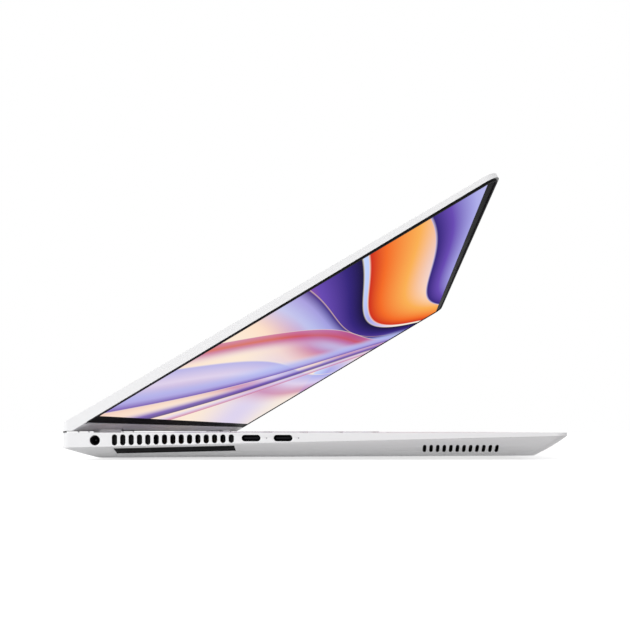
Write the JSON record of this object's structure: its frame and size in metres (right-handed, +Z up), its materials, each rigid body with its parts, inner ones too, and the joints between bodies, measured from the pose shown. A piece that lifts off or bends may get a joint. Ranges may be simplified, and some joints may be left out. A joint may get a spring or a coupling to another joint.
{
  "type": "laptop computer",
  "caption": "Slim white laptop computer with a wide-screen lid on a friction hinge, side vents, side sockets, keyboard and touchpad.",
  "frame": {"origin": "on the table, under the middle of the base", "axes": "+X to the user's right, +Y to the hinge at the back, +Z up"},
  "size_m": [0.355, 0.24, 0.1373],
  "materials": {
    "case_white": "satin white paint on aluminium",
    "cover_white": "satin white paint on aluminium",
    "key_white": "matte keycap plastic",
    "button_silver": "satin",
    "frame_white": "matte",
    "pad_glass": "etched, silky",
    "dark_plastic": "matte dark plastic",
    "dark_rubber": "matte rubber",
    "socket_metal": "stamped metal",
    "socket_dark": "dark plated metal",
    "steel": "stamped steel",
    "pin_steel": "ground",
    "board_green": "solder mask",
    "fin_dark": "black plated fins",
    "copper": "copper",
    "battery_black": "foil and plastic",
    "bezel_black": "glossy black",
    "screen_lit": "lit display",
    "gasket_black": "matte rubber",
    "light_clear": "clear light guide",
    "screw_steel": "zinc plated"
  },
  "bodies": {
    "base": {"top_case": "case_white", "bottom_cover": "cover_white", "left_chamfer_insert": "dark_plastic", "right_chamfer_insert": "dark_plastic", "vent_screens": "dark_plastic", "dc_jack": "dark_plastic", "usb_c_rear": "socket_dark", "usb_c_front": "socket_dark", "port_lights": "light_clear", "usb_a_port": "socket_metal", "hdmi_port": "socket_metal", "audio_jack": "dark_plastic", "left_hinge_bracket": "case_white", "right_hinge_bracket": "case_white", "keyboard_frame": "frame_white", "keyboard_tray": "steel", "touchpad_tray": "steel", "motherboard": "board_green", "left_io_board": "board_green", "ssd_card": "board_green", "wifi_card": "board_green", "battery_pack": "battery_black", "left_speaker": "dark_plastic", "right_speaker": "dark_plastic", "left_fan_housing": "dark_plastic", "right_fan_housing": "dark_plastic", "left_fin_stack": "fin_dark", "right_fin_stack": "fin_dark", "heat_pipes": "copper", "heat_spreader": "copper", "intake_mesh": "dark_plastic", "rear_foot": "dark_rubber", "front_foot": "dark_rubber", "cover_screws": "screw_steel"},
    "lid": {"lid_shell": "case_white", "lid_gasket": "gasket_black", "screen_bezel": "bezel_black", "display_panel": "screen_lit", "hinge_cover": "case_white", "webcam": "bezel_black", "left_hinge_leaf": "steel", "right_hinge_leaf": "steel", "left_hinge_pin": "pin_steel", "right_hinge_pin": "pin_steel", "display_board": "board_green", "display_cable": "dark_plastic", "antennas": "dark_plastic", "lid_magnets": "screw_steel"},
    "function_row": {"function_keys": "key_white"},
    "number_row": {"number_keys": "key_white"},
    "upper_letter_row": {"upper_letter_keys": "key_white"},
    "home_row": {"home_keys": "key_white"},
    "lower_letter_row": {"lower_letter_keys": "key_white"},
    "bottom_row": {"bottom_row_keys": "key_white"},
    "arrow_cluster": {"arrow_keys": "key_white"},
    "space_key": {"space_bar": "key_white"},
    "power_key": {"power_button": "button_silver"},
    "click_pad": {"touchpad": "pad_glass"},
    "left_rotor": {"left_fan_rotor": "dark_plastic"},
    "right_rotor": {"right_fan_rotor": "dark_plastic"}
  },
  "joints": [
    {"name": "lid_hinge", "type": "hinge", "parent": "base", "child": "lid", "pos_m": [0, 0.1156, 0.0165], "axis": [-1, 0, 0], "range_deg": [-30.8, 104.2]},
    {"name": "function_row_press", "type": "slide", "parent": "base", "child": "function_row", "axis": [0, 0, -1], "range_m": [0, 0.0012], "stiffness_N_per_m": 400, "springref_m": -0.0004},
    {"name": "number_row_press", "type": "slide", "parent": "base", "child": "number_row", "axis": [0, 0, -1], "range_m": [0, 0.0012], "stiffness_N_per_m": 400, "springref_m": -0.0004},
    {"name": "upper_letter_row_press", "type": "slide", "parent": "base", "child": "upper_letter_row", "axis": [0, 0, -1], "range_m": [0, 0.0012], "stiffness_N_per_m": 400, "springref_m": -0.0004},
    {"name": "home_row_press", "type": "slide", "parent": "base", "child": "home_row", "axis": [0, 0, -1], "range_m": [0, 0.0012], "stiffness_N_per_m": 400, "springref_m": -0.0004},
    {"name": "lower_letter_row_press", "type": "slide", "parent": "base", "child": "lower_letter_row", "axis": [0, 0, -1], "range_m": [0, 0.0012], "stiffness_N_per_m": 400, "springref_m": -0.0004},
    {"name": "bottom_row_press", "type": "slide", "parent": "base", "child": "bottom_row", "axis": [0, 0, -1], "range_m": [0, 0.0012], "stiffness_N_per_m": 400, "springref_m": -0.0004},
    {"name": "arrow_press", "type": "slide", "parent": "base", "child": "arrow_cluster", "axis": [0, 0, -1], "range_m": [0, 0.0012], "stiffness_N_per_m": 400, "springref_m": -0.0004},
    {"name": "space_press", "type": "slide", "parent": "base", "child": "space_key", "axis": [0, 0, -1], "range_m": [0, 0.0012], "stiffness_N_per_m": 400, "springref_m": -0.0004},
    {"name": "power_press", "type": "slide", "parent": "base", "child": "power_key", "axis": [0, 0, -1], "range_m": [0, 0.001], "stiffness_N_per_m": 400, "springref_m": -0.0004},
    {"name": "touchpad_click", "type": "hinge", "parent": "base", "child": "click_pad", "pos_m": [0, -0.0343, 0.0126], "axis": [1, 0, 0], "range_deg": [0, 0.35], "stiffness_Nm_per_rad": 5, "springref_deg": -0.23},
    {"name": "left_fan_spin", "type": "hinge", "parent": "base", "child": "left_rotor", "pos_m": [-0.128, 0.05903, 0.006], "axis": [0, 0, 1], "continuous": true},
    {"name": "right_fan_spin", "type": "hinge", "parent": "base", "child": "right_rotor", "pos_m": [0.128, 0.05903, 0.006], "axis": [0, 0, 1], "continuous": true}
  ]
}
